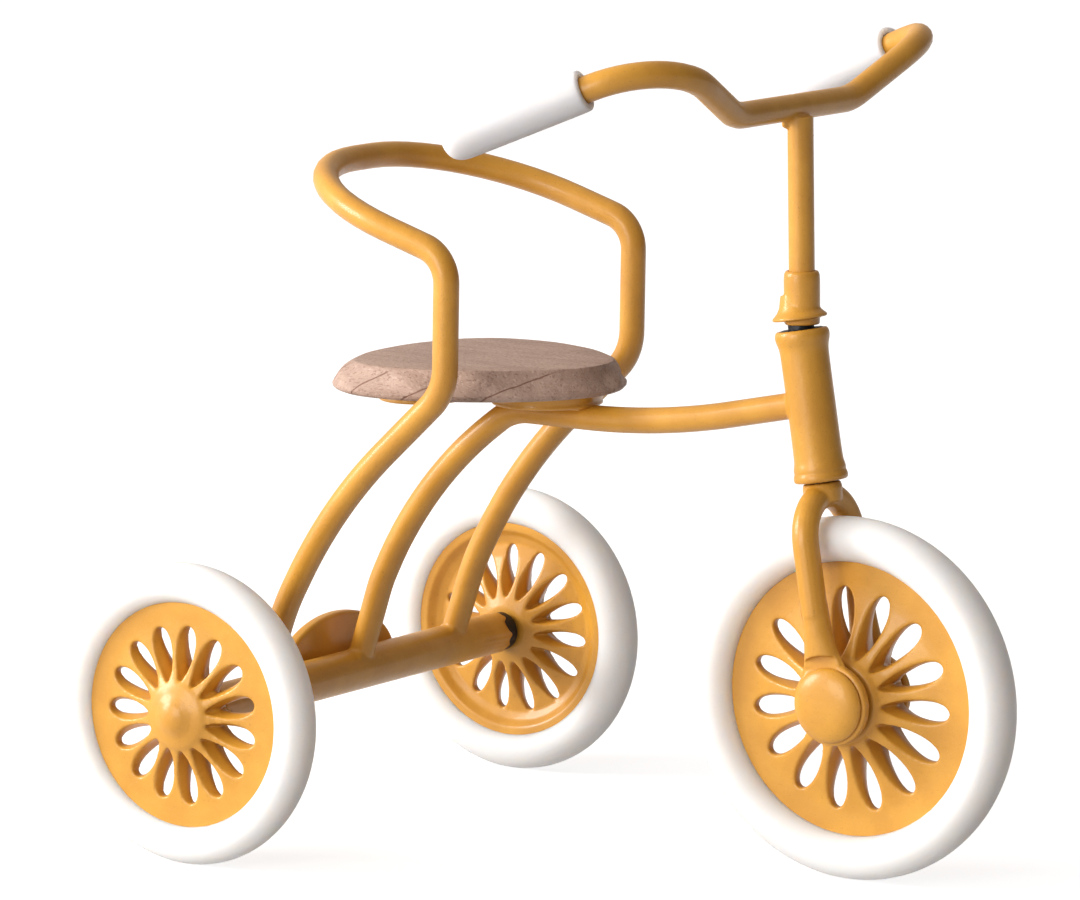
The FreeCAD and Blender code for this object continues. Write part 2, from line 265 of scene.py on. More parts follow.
# ---- shader maths -------------------------------------------------------------------------
class Value:
    """A socket in a material's node tree that can be used in a Python expression."""

    def __init__(self, tree, socket):
        self.tree = tree
        self.socket = socket

    def maths(self, operation, *others):
        """One Math node on this value and others."""
        return self.tree.node("ShaderNodeMath", {"operation": operation}, self, *others)

    def __add__(self, other):
        return self.maths("ADD", other)

    def __sub__(self, other):
        return self.maths("SUBTRACT", other)

    def __mul__(self, other):
        return self.maths("MULTIPLY", other)

    def __rsub__(self, other):
        return self.tree.node("ShaderNodeMath", {"operation": "SUBTRACT"}, other, self)

    __radd__ = __add__
    __rmul__ = __mul__


class Finish:
    """One material being built from nodes."""

    def __init__(self, name):
        self.material = bpy.data.materials.new(name)
        self.material.use_nodes = True
        self.nodes = self.material.node_tree.nodes
        self.links = self.material.node_tree.links
        self.shader = next(n for n in self.nodes if n.type == "BSDF_PRINCIPLED")

    def put(self, socket, value):
        """Links or sets one input socket."""
        if isinstance(value, Value):
            self.links.new(value.socket, socket)
        else:
            socket.default_value = value

    def node(self, kind, settings, *values, out=0, at=None, **named):
        """Adds a node: its settings first, then the values or links of its sockets.

        Values are given in order, by the socket's number in at, or by its name.
        """
        node = self.nodes.new(kind)
        for key, value in settings.items():
            setattr(node, key, value)
        for socket, value in zip(node.inputs, values):
            self.put(socket, value)
        for number, value in (at or {}).items():
            self.put(node.inputs[number], value)
        for key, value in named.items():
            self.put(node.inputs[key.replace("_", " ")], value)
        return Value(self, node.outputs[out])

    def place(self, size_mm, stretch=(1, 1, 1)):
        """Object coordinates counted in steps of this size."""
        scale = [part / (size_mm * MM) for part in stretch]
        where = self.node("ShaderNodeTexCoord", {}, out="Object")
        return self.node("ShaderNodeMapping", {}, where, Scale=scale)

    def parts(self, vector):
        """The X, Y and Z of a vector."""
        split = self.node("ShaderNodeSeparateXYZ", {}, vector).socket.node
        return [Value(self, socket) for socket in split.outputs]

    def noise(self, size_mm, detail, stretch=(1, 1, 1), rough=0.5):
        """Soft noise with blobs of about this size."""
        return self.node("ShaderNodeTexNoise", {}, Vector=self.place(size_mm, stretch),
                         Scale=1.0, Detail=detail, Roughness=rough, out="Fac")

    def mix(self, amount, first, second):
        """Mixes two colours, whose sockets are the mix node's seventh and eighth."""
        return self.node("ShaderNodeMix", {"data_type": "RGBA"}, amount, out=2,
                         at={6: first, 7: second})

    def band(self, value, low, high):
        """0 below low, 1 above high, smooth between."""
        return self.node("ShaderNodeMapRange", {"interpolation_type": "SMOOTHSTEP"}, value,
                         low, high, 0.0, 1.0)

    def bump(self, height, depth_mm):
        """A surface normal from a height that counts to 1."""
        return self.node("ShaderNodeBump", {}, Strength=1.0, Distance=depth_mm * MM,
                         Height=height)

    def surface(self, **sockets):
        """Feeds the shader's sockets and gives the material."""
        for key, value in sockets.items():
            self.put(self.shader.inputs[key.replace("_", " ")], value)
        return self.material


# ---- finishes -----------------------------------------------------------------------------
BEVEL_TOP = 56.9


def ochre_paint():
    """Baked mustard paint: fine grit, soft orange peel, thicker and deeper in places."""
    finish = Finish("ochre_paint")
    pooled = finish.band(finish.noise(5.0, 3), 0.35, 0.7)
    base = finish.mix(pooled, (0.54, 0.248, 0.024, 1), (0.61, 0.292, 0.031, 1))
    grit = finish.band(finish.noise(0.22, 2, rough=0.7), 0.58, 0.74)
    speck = finish.band(finish.noise(0.30, 2, rough=0.7), 0.62, 0.72)
    colour = finish.mix(grit * 0.16, base, (0.66, 0.44, 0.18, 1))
    colour = finish.mix(speck * 0.30, colour, (0.22, 0.095, 0.025, 1))
    peel = finish.noise(0.9, 3)
    grain = finish.noise(0.16, 2)
    height = peel * 0.7 + grain * 0.3
    rough = 0.36 + finish.noise(2.4, 3) * 0.14 + grit * 0.1
    return finish.surface(Base_Color=colour, Roughness=rough, Coat_Weight=0.2,
                          Coat_Roughness=0.16, Specular_IOR_Level=0.35,
                          Normal=finish.bump(height, 0.06))


def carved_beech():
    """Pale steamed beech: dense short flecks, faint growth bands, a dusty matt skin.

    Thin dark slanting lines across the knife-cut bevel are painted shade of the grooves between its
    facets.
    """
    finish = Finish("carved_beech")
    bands = finish.noise(3.2, 3, stretch=(0.35, 1.6, 1.0))
    base = finish.mix(finish.band(bands, 0.3, 0.72), (0.345, 0.232, 0.182, 1),
                      (0.425, 0.295, 0.235, 1))
    fleck = finish.band(finish.noise(0.30, 2, stretch=(0.5, 1.2, 1.0), rough=0.65), 0.54, 0.66)
    pale = finish.band(finish.noise(0.34, 2, stretch=(0.6, 1.1, 1.0), rough=0.6), 0.54, 0.68)
    along, side, height = finish.parts(finish.place(1.0))
    wander = finish.noise(7.0, 2)
    # mask of the painted shade: thin slanting lines on the bevel, where the grooves between the
    # knife facets lie
    leaning = along * 0.125 - height * 0.19 + side * side * 0.0008 + wander * 0.35
    ring = finish.node("ShaderNodeMath", {"operation": "PINGPONG"}, leaning, 0.5)
    on_bevel = 1 - finish.band(height, BEVEL_TOP - 0.6, BEVEL_TOP)
    line = (1 - finish.band(ring, 0.012, 0.026)) * on_bevel
    colour = finish.mix(fleck * 0.50, base, (0.17, 0.092, 0.064, 1))
    colour = finish.mix(pale * 0.38, colour, (0.56, 0.43, 0.36, 1))
    # painted shade: these lines darken the bevel as if its grooves lay in shadow
    colour = finish.mix(line * 0.75, colour, (0.16, 0.062, 0.036, 1))
    pores = finish.noise(0.26, 2, stretch=(0.6, 1.2, 1.0)) * 0.8 - line * 0.6
    return finish.surface(Base_Color=colour, Roughness=0.62 + fleck * 0.2,
                          Specular_IOR_Level=0.3, Normal=finish.bump(pores, 0.09))


def soft_white(name, colour, warm, depth_mm):
    """Soft white rubber: light travels this deep in it, and its skin holds a little dust."""
    finish = Finish(name)
    cloud = finish.band(finish.noise(6.0, 3), 0.3, 0.75)
    tone = finish.mix(cloud * 0.5, colour, warm)
    dust = finish.band(finish.noise(0.35, 2, rough=0.7), 0.66, 0.74)
    tone = finish.mix(dust * 0.10, tone, (0.50, 0.47, 0.44, 1))
    skin = finish.noise(0.5, 3)
    return finish.surface(Base_Color=tone, Roughness=0.46 + cloud * 0.08,
                          Subsurface_Weight=1.0, Subsurface_Radius=(1.0, 0.85, 0.72),
                          Subsurface_Scale=depth_mm * MM, Specular_IOR_Level=0.38,
                          Normal=finish.bump(skin, 0.03))


def dark_rod():
    """Oiled dark steel rod with fine turning marks."""
    finish = Finish("dark_rod")
    marks = finish.noise(0.3, 3, stretch=(1, 0.2, 1))
    tone = finish.mix(marks, (0.012, 0.012, 0.014, 1), (0.05, 0.05, 0.055, 1))
    return finish.surface(Base_Color=tone, Metallic=0.85, Roughness=0.3 + marks * 0.25,
                          Normal=finish.bump(marks, 0.02))


paint = ochre_paint()
beech = carved_beech()
tyre_rubber = soft_white("tyre_rubber", (0.79, 0.79, 0.79, 1), (0.77, 0.766, 0.76, 1), 4.5)
grip_rubber = soft_white("grip_rubber", (0.68, 0.67, 0.685, 1), (0.65, 0.635, 0.64, 1), 2.5)
rod_steel = dark_rod()


# ---- wheels -------------------------------------------------------------------------------
def soft_tyre(name, body, node, centre, radius, thickness, width):
    """A round soft ring."""
    ring_centre = radius - thickness / 2
    profile = []
    for step in range(36):
        angle = math.radians(step * 10)
        profile.append((ring_centre + math.cos(angle) * thickness / 2,
                        math.sin(angle) * width / 2))
    ring = turned(profile, steps=128)
    on_wheel(ring, centre, 1)
    return finished(ring, name, body, tyre_rubber, (node,), crease=60)


PETALS = 15
PETAL_TAPER = 0.5      # how much wider a petal's outer half is than its middle
PETAL_EDGE = 0.25      # half the thickness of the web's thinnest edge
PETAL_REACH = 6.0      # clear of every face of the disc


def petal_cutter(inner, outer, half_width, flare, lengthen, face):
    """Scoops that narrow to a petal-shaped hole in the web and flare towards both faces.

    At the face a scoop is flare times as wide and lengthen times as long as its hole.
    """
    length = (outer - inner) / 2
    centre = Vector(((outer + inner) / 2, 0, 0))
    root = outer - 0.35
    nothing()
    bpy.ops.mesh.primitive_circle_add(vertices=40, radius=1, fill_type="NGON", location=centre)
    petal = place(bpy.context.object, Matrix.Identity(4))
    for vertex in petal.data.vertices:
        along = vertex.co.x - centre.x
        vertex.co.x = centre.x + along * length
        vertex.co.y = vertex.co.y * half_width * (1 + PETAL_TAPER * along)
    edit(petal)
    below = 0
    for height, wider, longer in ((PETAL_EDGE, 1, 1), (face, flare, lengthen),
                                  (PETAL_REACH, 1.12, 1)):
        bpy.ops.mesh.extrude_region_move(TRANSFORM_OT_translate={"value": (0, 0, height - below)})
        bpy.ops.transform.resize(value=(longer, wider, 1), center_override=(root, 0, height))
        below = height
    bpy.ops.mesh.select_all(action="SELECT")
    bpy.ops.mesh.normals_make_consistent(inside=False)
    close_edit()
    lower = copy_of(petal)
    place(lower, Matrix.Scale(-1, 4, (0, 0, 1)))
    edit(lower)
    bpy.ops.mesh.normals_make_consistent(inside=False)
    close_edit()
    petal = joined([petal, lower])
    edit(petal)
    bpy.ops.mesh.remove_doubles(threshold=0.001)
    bpy.ops.mesh.select_all(action="DESELECT")
    close_edit()
    for wall in petal.data.polygons:
        wall.select = abs(wall.center.z) < 0.001
    bpy.ops.object.mode_set(mode="EDIT")
    bpy.ops.mesh.select_mode(type="FACE")
    bpy.ops.mesh.delete(type="ONLY_FACE")
    bpy.ops.mesh.select_mode(type="VERT")
    close_edit()
    petals = [petal]
    for number in range(1, PETALS):
        turn = Matrix.Rotation(math.radians(360 / PETALS * number), 4, "Z")
        petals.append(place(copy_of(petal), turn))
    return petals


def cast_disc(name, body, nodes, centre, outward, profile, petal, phase, voxel):
    """A cast wheel disc: turned, cut with petal scoops and rounded off like a painted casting."""
    disc = turned(profile, steps=120)
    for cutter in petal_cutter(*petal):
        place(cutter, Matrix.Rotation(math.radians(phase), 4, "Z"))
        cut(disc, cutter)
    cast(disc, voxel, 6)
    on_wheel(disc, centre, outward)
    return finished(disc, name, body, paint, nodes, crease=70)


REAR_PROFILE = [(0, 3.75), (0.7, 3.70), (1.4, 3.48), (2.0, 3.15), (2.6, 2.86), (3.2, 2.68),
                (3.7, 2.5), (4.1, 2.25), (5.2, 1.85), (7.5, 1.45), (10.2, 1.15), (11.0, 1.1),
                (13.55, 1.1), (13.55, -1.4), (12.4, -1.3), (11.6, -0.5), (10.6, -0.1),
                (9.0, -0.4), (6.5, -1.35), (4.0, -2.1), (2.9, -2.45), (0, -2.45)]
FRONT_PROFILE = [(1.3, 3.4), (4.45, 3.4), (4.85, 3.28), (5.0, 3.0), (5.1, 2.75), (6.2, 2.2),
                 (9.0, 1.35), (12.2, 0.72), (13.2, 0.62), (16.5, 0.62), (16.5, -0.62),
                 (13.2, -0.62), (12.2, -0.72), (9.0, -1.35), (6.2, -2.2), (5.1, -2.75),
                 (5.0, -3.0), (4.85, -3.28), (4.45, -3.4), (1.3, -3.4)]
# a hole's inner and outer radius and half width, and at the height that comes last its scoop is
# wider and longer by the two shares before it
REAR_PETAL = (4.7, 10.45, 0.76, 1.62, 1.12, 1.4)
FRONT_PETAL = (5.6, 13.0, 1.0, 1.45, 1.07, 1.6)
REAR_PHASES = {"right": 12.0, "left": 5.0}

for side, sign in SIDES.items():
    hub = Vector((REAR_AXLE.x, sign * REAR_HALF_TRACK, REAR_AXLE.z))
    soft_tyre("soft_rear_tyre_" + side, "rear_wheels", "rear_tyre_" + side, hub, REAR_R, 4.8, 5.0)
    cast_disc("cast_rear_disc_" + side, "rear_wheels", ("rear_disc_" + side, "hub_cap_" + side),
              hub, sign, REAR_PROFILE, REAR_PETAL, REAR_PHASES[side], 0.17)
soft_tyre("soft_front_tyre", "front_wheel", "front_tyre", FRONT_AXLE, FRONT_R, 5.2, 6.0)
cast_disc("cast_front_disc", "front_wheel", ("front_disc",), FRONT_AXLE, -1, FRONT_PROFILE,
          FRONT_PETAL, -2.5, 0.18)

# ---- the bent frame -----------------------------------------------------------------------
def up_steering(height, side=0.0):
    """The point at this height up the steering axis from its foot."""
    return STEERING_FOOT + UP_THE_STEM * height + Vector((0, side, 0))


def tapered_rod(sections):
    """A closed rod through (height, half width, half depth) sections, standing on Z."""
    nothing()
    first, half_x, half_y = sections[0]
    bpy.ops.mesh.primitive_circle_add(vertices=32, radius=1, fill_type="NGON",
                                      location=(0, 0, first))
    bpy.ops.object.mode_set(mode="EDIT")
    bpy.ops.transform.resize(value=(half_x, half_y, 1), center_override=(0, 0, first))
    for (below, old_x, old_y), (height, half_x, half_y) in zip(sections, sections[1:]):
        bpy.ops.mesh.extrude_region_move(TRANSFORM_OT_translate={"value": (0, 0, height - below)})
        bpy.ops.transform.resize(value=(half_x / old_x, half_y / old_y, 1),
                                 center_override=(0, 0, height))
    bpy.ops.mesh.select_all(action="SELECT")
    bpy.ops.mesh.normals_make_consistent(inside=False)
    close_edit()
    return place(bpy.context.object, Matrix.Identity(4))


def leaned(piece, side=0.0):
    """Stands a piece built about Z on the foot of the steering axis, along it."""
    return stand(piece, STEERING_FOOT + Vector((0, side, 0)), UP_THE_STEM)


def weld(pieces, at, reach, voxel=0.16, rounds=45, beads=(), stretch=(1, 1, 1)):
    """The paint-filled fillet where pieces meet: what they have near the joint, melted into one."""
    near = []
    for piece in pieces:
        part = copy_of(piece)
        nothing()
        bpy.ops.mesh.primitive_uv_sphere_add(segments=32, ring_count=16, radius=reach, location=at)
        ball = bpy.context.object
        ball.scale = stretch
        place(ball, Matrix.Identity(4))
        cut(part, ball, "INTERSECT")
        near.append(part)
    for centre, radius in beads:
        nothing()
        bpy.ops.mesh.primitive_ico_sphere_add(subdivisions=3, radius=radius, location=centre)
        near.append(place(bpy.context.object, Matrix.Identity(4)))
    melted = cast(joined(near), voxel, rounds)
    return modify(melted, "DISPLACE", strength=-0.02, mid_level=0)


def ragged(piece, axis, low, amount, size=0.8, seed=0.0):
    """Nudges the vertices beyond low along one axis, as a broken paint edge is."""
    for vertex in piece.data.vertices:
        if abs(vertex.co[axis]) > low:
            push = noise.noise(vertex.co * size + Vector((seed, seed, seed)))
            vertex.co[axis] += amount * push * (1 if vertex.co[axis] > 0 else -1)
    return piece


RAIL_Y = 19.7
FOOT = (-35.8, 19.2)
RAIL_SIDE = [FOOT, (-32.5, 28.6), (-25.6, 41.0), (-9.7, 55.5), (-9.3, 71.1), (-34.7, 79.5)]
RAIL_BENDS = [30, 62, 6.5, 4.3, 18]
rail_sides = {side: [(x, sign * RAIL_Y, z) for x, z in RAIL_SIDE] for side, sign in SIDES.items()}
arm_rail = bent_wire(rail_sides["right"] + rail_sides["left"][::-1], RAIL_BENDS + RAIL_BENDS[::-1])
main_tube = bent_wire([(FOOT[0], 0, FOOT[1]), (-32.7, 0, 28.6), (-26.5, 0, 41.5),
                       (-13.6, 0, 50.9), (6.7, 0, 50.5),
                       up_steering(34.0) + Vector((-2.0, 0, -0.35))], [20, 50, 6.8, 93])

AXLE_END = 29.75
axle_tube = turned([(1.4, -AXLE_END), (2.3, -AXLE_END), (2.46, -AXLE_END + 0.12),
                    (2.5, -AXLE_END + 0.35), (2.5, -AXLE_END + 0.9), (2.5, -12), (2.5, 0),
                    (2.5, 12), (2.5, AXLE_END - 0.9), (2.5, AXLE_END - 0.35),
                    (2.46, AXLE_END - 0.12), (2.3, AXLE_END), (1.4, AXLE_END)], steps=96)
ragged(axle_tube, 2, AXLE_END - 0.5, 1.5, 0.9, 3.0)
on_wheel(axle_tube, REAR_AXLE, 1)

nothing()
bpy.ops.mesh.primitive_cylinder_add(vertices=128, radius=1, depth=1.6, rotation=(0, math.pi / 2, 0))
rear_plate = place(bpy.context.object, Matrix.Identity(4))
place(rear_plate, Matrix.Translation((-39.5, 0, 17.7)) @ Matrix.Diagonal((1, 11.5, 6.7, 1)))
edit(rear_plate)
bpy.ops.mesh.bisect(plane_co=(0, 0, 17.7), plane_no=(0, 0, 1), clear_inner=True, use_fill=True)
bpy.ops.mesh.extrude_region_move(TRANSFORM_OT_translate={"value": (0, 0, -2.5)})
bpy.ops.mesh.select_all(action="SELECT")
bpy.ops.mesh.normals_make_consistent(inside=False)
close_edit()
softened(rear_plate, 0.45, 4, 50)

HEAD_PROFILE = [(1.58, 25.04), (2.7, 25.04), (2.98, 25.08), (3.12, 25.3), (3.15, 25.62),
                (3.06, 25.95), (2.97, 26.15), (3.02, 26.42), (2.98, 26.8), (2.86, 27.2),
                (2.79, 27.8), (2.78, 33.6), (2.78, 39.5), (2.82, 40.2), (2.92, 40.75),
                (3.06, 41.15), (3.15, 41.6), (3.15, 42.05), (3.0, 42.42), (2.76, 42.55),
                (2.4, 42.45), (1.58, 42.45)]
head_tube = leaned(modify(turned(HEAD_PROFILE, steps=48), "SUBSURF", levels=2, render_levels=2))
head_liner = turned([(1.58, 41.9), (2.3, 41.9), (2.45, 42.5), (2.35, 42.58), (1.9, 42.54),
                     (1.58, 42.58)], steps=96)
for vertex in head_liner.data.vertices:
    spread = 1 + 0.13 * noise.noise(Vector((vertex.co.x, vertex.co.y, 7.0)) * 0.9)
    if math.hypot(vertex.co.x, vertex.co.y) > 2:
        vertex.co.x, vertex.co.y = vertex.co.x * spread, vertex.co.y * spread
leaned(head_liner)

# ---- the seat plate and its screws --------------------------------------------------------
def dish(x, bottom, radius, flare):
    """One round pressed dish of the seat plate, with a rolled lip round its floor."""
    profile = [(0, bottom), (radius - 0.5, bottom), (radius - 0.1, bottom - 0.02),
               (radius + 0.2, bottom + 0.08), (radius + 0.28, bottom + 0.25),
               (radius + 0.15, bottom + 0.45), (radius + 0.16, bottom + 0.7),
               (radius + 0.5, 53.2), (flare, 53.46), (0, 53.46)]
    return place(turned(profile, steps=96), Matrix.Translation((x, 0, 0)))


# each dish: its centre's x, its floor's height, its radius, and its rim's
TAIL_DISH = (-26.5, 51.1, 4.9, 6.2)
NOSE_DISH = (-8.7, 51.9, 6.3, 6.8)
nothing()
bpy.ops.mesh.primitive_cube_add(size=1, location=(-17.6, 0, 53.08), scale=(17.8, 7, 0.76))
strip = place(bpy.context.object, Matrix.Identity(4))
seat_plate = joined([dish(*TAIL_DISH), dish(*NOSE_DISH), strip])
cast(seat_plate, 0.15, 4)


def plate_screw(x, y, bottom):
    """A countersunk screw with a crossed recess."""
    screw = turned([(0, 0), (1.0, -0.05), (1.18, 0.02), (1.18, 0.12), (0.62, 0.6), (0.6, 3.5),
                    (0, 3.5)], steps=40)
    for turn in (0.3, 0.3 + math.pi / 2):
        nothing()
        bpy.ops.mesh.primitive_cube_add(size=1, rotation=(0, 0, turn), scale=(1.25, 0.26, 0.8))
        slot = place(bpy.context.object, Matrix.Identity(4))
        cut(screw, slot)
    return place(screw, Matrix.Translation((x, y, bottom - 0.05)))


screws = joined([plate_screw(x, y, bottom) for (x, bottom, _, _), half_pitch
                 in ((TAIL_DISH, 2.8), (NOSE_DISH, 4.0)) for y in (-half_pitch, half_pitch)])

# ---- the saddle ---------------------------------------------------------------------------
SADDLE_MIDDLE = Vector((-17.0, 0, 0))
WIDE_SIDE = [(-34.0, 0), (-32.9, 8.6), (-28.6, 14.6), (-21.5, 17.1), (-12.3, 15.2),
             (-4.9, 10.5), (-0.9, 5.3), (0.3, 0)]
TOP_SIDE = [(-31.2, 0), (-30.2, 7.0), (-26.7, 12.9), (-20.8, 14.6), (-12.0, 12.5),
            (-5.7, 8.3), (-2.3, 4.4), (-1.3, 0)]
# (height, size, share of the top's outline, how deep the knife went) of each line round the
# board, from below to the top
SADDLE_LINES = [(53.5, 0.90, 0, 0), (53.5, 0.955, 0, 0.1), (53.62, 0.975, 0, 0.2),
                (53.85, 0.992, 0, 0.3), (54.15, 1.0, 0, 0.45), (54.5, 1, 0.08, 0.75),
                (54.85, 1, 0.19, 1.0), (55.2, 1, 0.31, 1.0), (55.55, 1, 0.44, 1.0),
                (55.9, 1, 0.57, 0.95), (56.25, 1, 0.70, 0.8), (56.55, 1, 0.81, 0.55),
                (56.78, 1, 0.90, 0.3), (56.93, 1, 0.97, 0.1), (57.0, 0.985, 1, 0),
                (57.0, 0.60, 1, 0)]


SCOOP_WIDTH = 36.0     # of one knife cut round the bevel, in degrees
TAIL_BULGE = 0.3       # how much the bevel rounds out at the tail


def outline_curve(side):
    """A closed smooth outline through one side's points and their mirror, as a mesh."""
    nothing()
    bpy.ops.curve.primitive_bezier_circle_add(radius=1)
    outline = bpy.context.object
    outline.data.dimensions = "3D"
    spline = outline.data.splines[0]
    left = [Vector((x, y, 0)) for x, y in side]
    ring = left + [Vector((p.x, -p.y, 0)) for p in left[-2:0:-1]]
    spline.bezier_points.add(len(ring) - len(spline.bezier_points))
    for point, at in zip(spline.bezier_points, ring):
        point.co = at
        point.handle_left_type = point.handle_right_type = "AUTO"
    outline.data.resolution_u = 32
    only(outline)
    bpy.ops.object.convert(target="MESH")
    return bpy.context.object


def carved_saddle():
    """The board: a flat top and a broad bevel that is cut in long shallow scoops."""
    board = outline_curve(WIDE_SIDE)
    top = outline_curve(TOP_SIDE)
    wide_ring = [vertex.co.copy() for vertex in board.data.vertices]
    top_ring = [vertex.co.copy() for vertex in top.data.vertices]
    bpy.data.objects.remove(top)
    edit(board)
    bpy.ops.mesh.edge_face_add()
    for _ in SADDLE_LINES[1:]:
        bpy.ops.mesh.extrude_region_move(TRANSFORM_OT_translate={"value": (0, 0, 1)})
    bpy.ops.mesh.select_all(action="SELECT")
    close_edit()
    places = {(round(at.x, 3), round(at.y, 3)): number for number, at in enumerate(wide_ring)}
    for vertex in board.data.vertices:
        number = places[(round(vertex.co.x, 3), round(vertex.co.y, 3))]
        height, size, share, depth = SADDLE_LINES[round(vertex.co.z)]
        tail = min(1.0, max(0.0, -(wide_ring[number].x + 20.0) / 14.0))
        share -= TAIL_BULGE * tail * math.sin(math.pi * share)
        at = wide_ring[number].lerp(top_ring[number], share)
        at = SADDLE_MIDDLE + (at - SADDLE_MIDDLE) * size
        outwards = (at - SADDLE_MIDDLE).normalized()
        around = math.degrees(math.atan2(outwards.y, outwards.x))
        leaning = around + (height - 55.5) * (9.0 if outwards.y < 0 else -9.0)
        scoop = math.sin(math.pi * ((leaning + 20.0) % SCOOP_WIDTH) / SCOOP_WIDTH)
        wander = 0.14 * noise.noise(Vector((at.x, at.y, height)) * 0.35)
        at = at - outwards * depth * ((0.65 - 0.3 * tail) * scoop + wander)
        vertex.co = Vector((at.x, at.y, height))
    edit(board)
    bpy.ops.mesh.normals_make_consistent(inside=False)
    close_edit()
    return board


saddle = carved_saddle()

# ---- the steering -------------------------------------------------------------------------
FORK_Y = 5.1
FORK_FOOT = 10.2
FORK_CROWN = 23.4
fork_wire = bent_wire([up_steering(FORK_FOOT, -FORK_Y), up_steering(FORK_CROWN, -FORK_Y),
                       up_steering(FORK_CROWN, FORK_Y), up_steering(FORK_FOOT, FORK_Y)],
                      [5.09, 5.09], 1.55)
crown_bead = leaned(turned([(0, 22.6), (2.1, 22.6), (2.3, 24.2), (2.15, 24.9), (0, 24.95)],
                           steps=64))
fork_parts = [fork_wire]
for sign in SIDES.values():
    leg = tapered_rod([(11.5, 1.52, 1.52), (10.0, 1.57, 1.55), (8.4, 1.70, 1.50),
                       (7.0, 1.90, 1.40), (5.6, 2.15, 1.28), (4.4, 2.5, 1.15)])
    leaned(leg, sign * (FORK_Y - 0.12))
    nothing()
    bpy.ops.mesh.primitive_cylinder_add(vertices=96, radius=5.75, depth=4)
    press = place(bpy.context.object, Matrix.Identity(4))
    on_wheel(press, FRONT_AXLE + Vector((0, sign * 7.28, 0)), sign)
    cut(leg, press)
    fork_parts.append(leg)
    neck = tapered_rod([(8.5, 1.5, 0.6), (6.0, 2.15, 0.60), (3.0, 3.3, 0.6)])
    fork_parts.append(leaned(neck, sign * 4.7))
    tab = turned([(1.2, 4.1), (4.5, 4.1), (4.75, 4.25), (4.75, 5.12), (4.5, 5.3), (1.2, 5.3)], 96)
    fork_parts.append(on_wheel(tab, FRONT_AXLE, sign))
fork = cast(joined(fork_parts + [crown_bead]), 0.13, 10)

STEM_BOTTOM = Vector((26.15, 0, 67.0))
STEM_TOP = Vector((25.9, 0, 88.3))
up_the_neck = (STEM_TOP - STEM_BOTTOM).normalized()
flange = leaned(turned([(1.6, 43.75), (2.7, 43.7), (3.08, 43.7), (3.2, 43.84), (3.12, 44.05),
                        (2.85, 44.3), (2.5, 44.65), (2.22, 45.2), (2.08, 45.8), (1.9, 46.6),
                        (1.6, 46.6)], steps=96))
neck = turned([(1.52, -3.4), (2.02, -3.4), (2.06, -1.0), (2.08, 1.6), (2.04, 2.3), (1.9, 2.66),
               (1.66, 2.78), (1.52, 2.7)], steps=96)
collar = cast(joined([flange, stand(neck, STEM_BOTTOM, up_the_neck)]), 0.12, 8)

stem_tube = bent_wire([STEM_BOTTOM, STEM_TOP - up_the_neck * 1.0], [], 1.5)
bar_side = {side: [(25.0, sign * 12.5, 88.3), (28.1, sign * 30.4, 96.6), (4.8, sign * 36.8, 86.9)]
            for side, sign in SIDES.items()}
handlebar = bent_wire(bar_side["right"][::-1] + bar_side["left"], [9.5, 8, 8, 9.5])


def axle_cap(side):
    """The domed cap over the front axle's end."""
    cap = turned([(0, 5.3), (3.9, 5.3), (4.24, 5.34), (4.36, 5.5), (4.34, 5.74), (4.12, 6.08),
                  (3.6, 6.42), (2.8, 6.7), (1.8, 6.86), (0.8, 6.92), (0, 6.93)], steps=48)
    modify(cap, "SUBSURF", levels=2, render_levels=2)
    return on_wheel(cap, FRONT_AXLE, SIDES[side])


def grip(side):
    """A soft sleeve: an open mouth with a rounded lip, and a blunt ball end."""
    _, rise, end = [Vector(point) for point in bar_side[side]]
    sleeve = turned([(1.5, 15.2), (1.62, 15.28), (2.2, 15.24), (2.36, 15.1), (2.42, 14.8),
                     (2.42, 9), (2.42, 3), (2.4, 0), (2.3, -0.8), (2.02, -1.5), (1.56, -2.0),
                     (0.9, -2.32), (0, -2.4), (0, 0), (1.5, 0)], steps=48)
    modify(sleeve, "SUBSURF", levels=2, render_levels=2)
    return stand(sleeve, end, rise - end)


# ---- welds --------------------------------------------------------------------------------
frame_welds = [weld([arm_rail, axle_tube], (-35.6, y, 19.9), 3.6, rounds=60,
                    beads=[((-34.8, y - 1.6, 19.4), 0.5)]) for y in (-RAIL_Y, RAIL_Y)]
frame_welds.append(weld([main_tube, axle_tube], (-35.6, 0, 19.9), 3.8,
                        rounds=60, beads=[((-34.75, -1.7, 19.3), 0.6)]))
frame_welds.append(weld([main_tube, head_tube], (24.9, 0, 54.1), 3.6))
frame_welds.append(weld([main_tube, seat_plate], (-9.2, 0, 51.5), 4.6, rounds=24,
                        stretch=(1.35, 1, 0.6)))
frame_welds.append(weld([rear_plate, axle_tube], (-38.8, 0, 19.4), 1.0, rounds=24,
                        stretch=(1.7, 11.6, 1.7)))
stem_weld = weld([stem_tube, handlebar], (25.3, 0, 87.2), 3.3, rounds=22,
                 beads=[((26.6, 0.7, 86.2), 0.55), ((26.3, -0.9, 86.0), 0.5),
                        ((24.7, -1.3, 86.4), 0.5), ((26.9, 0.9, 85.1), 0.35)])

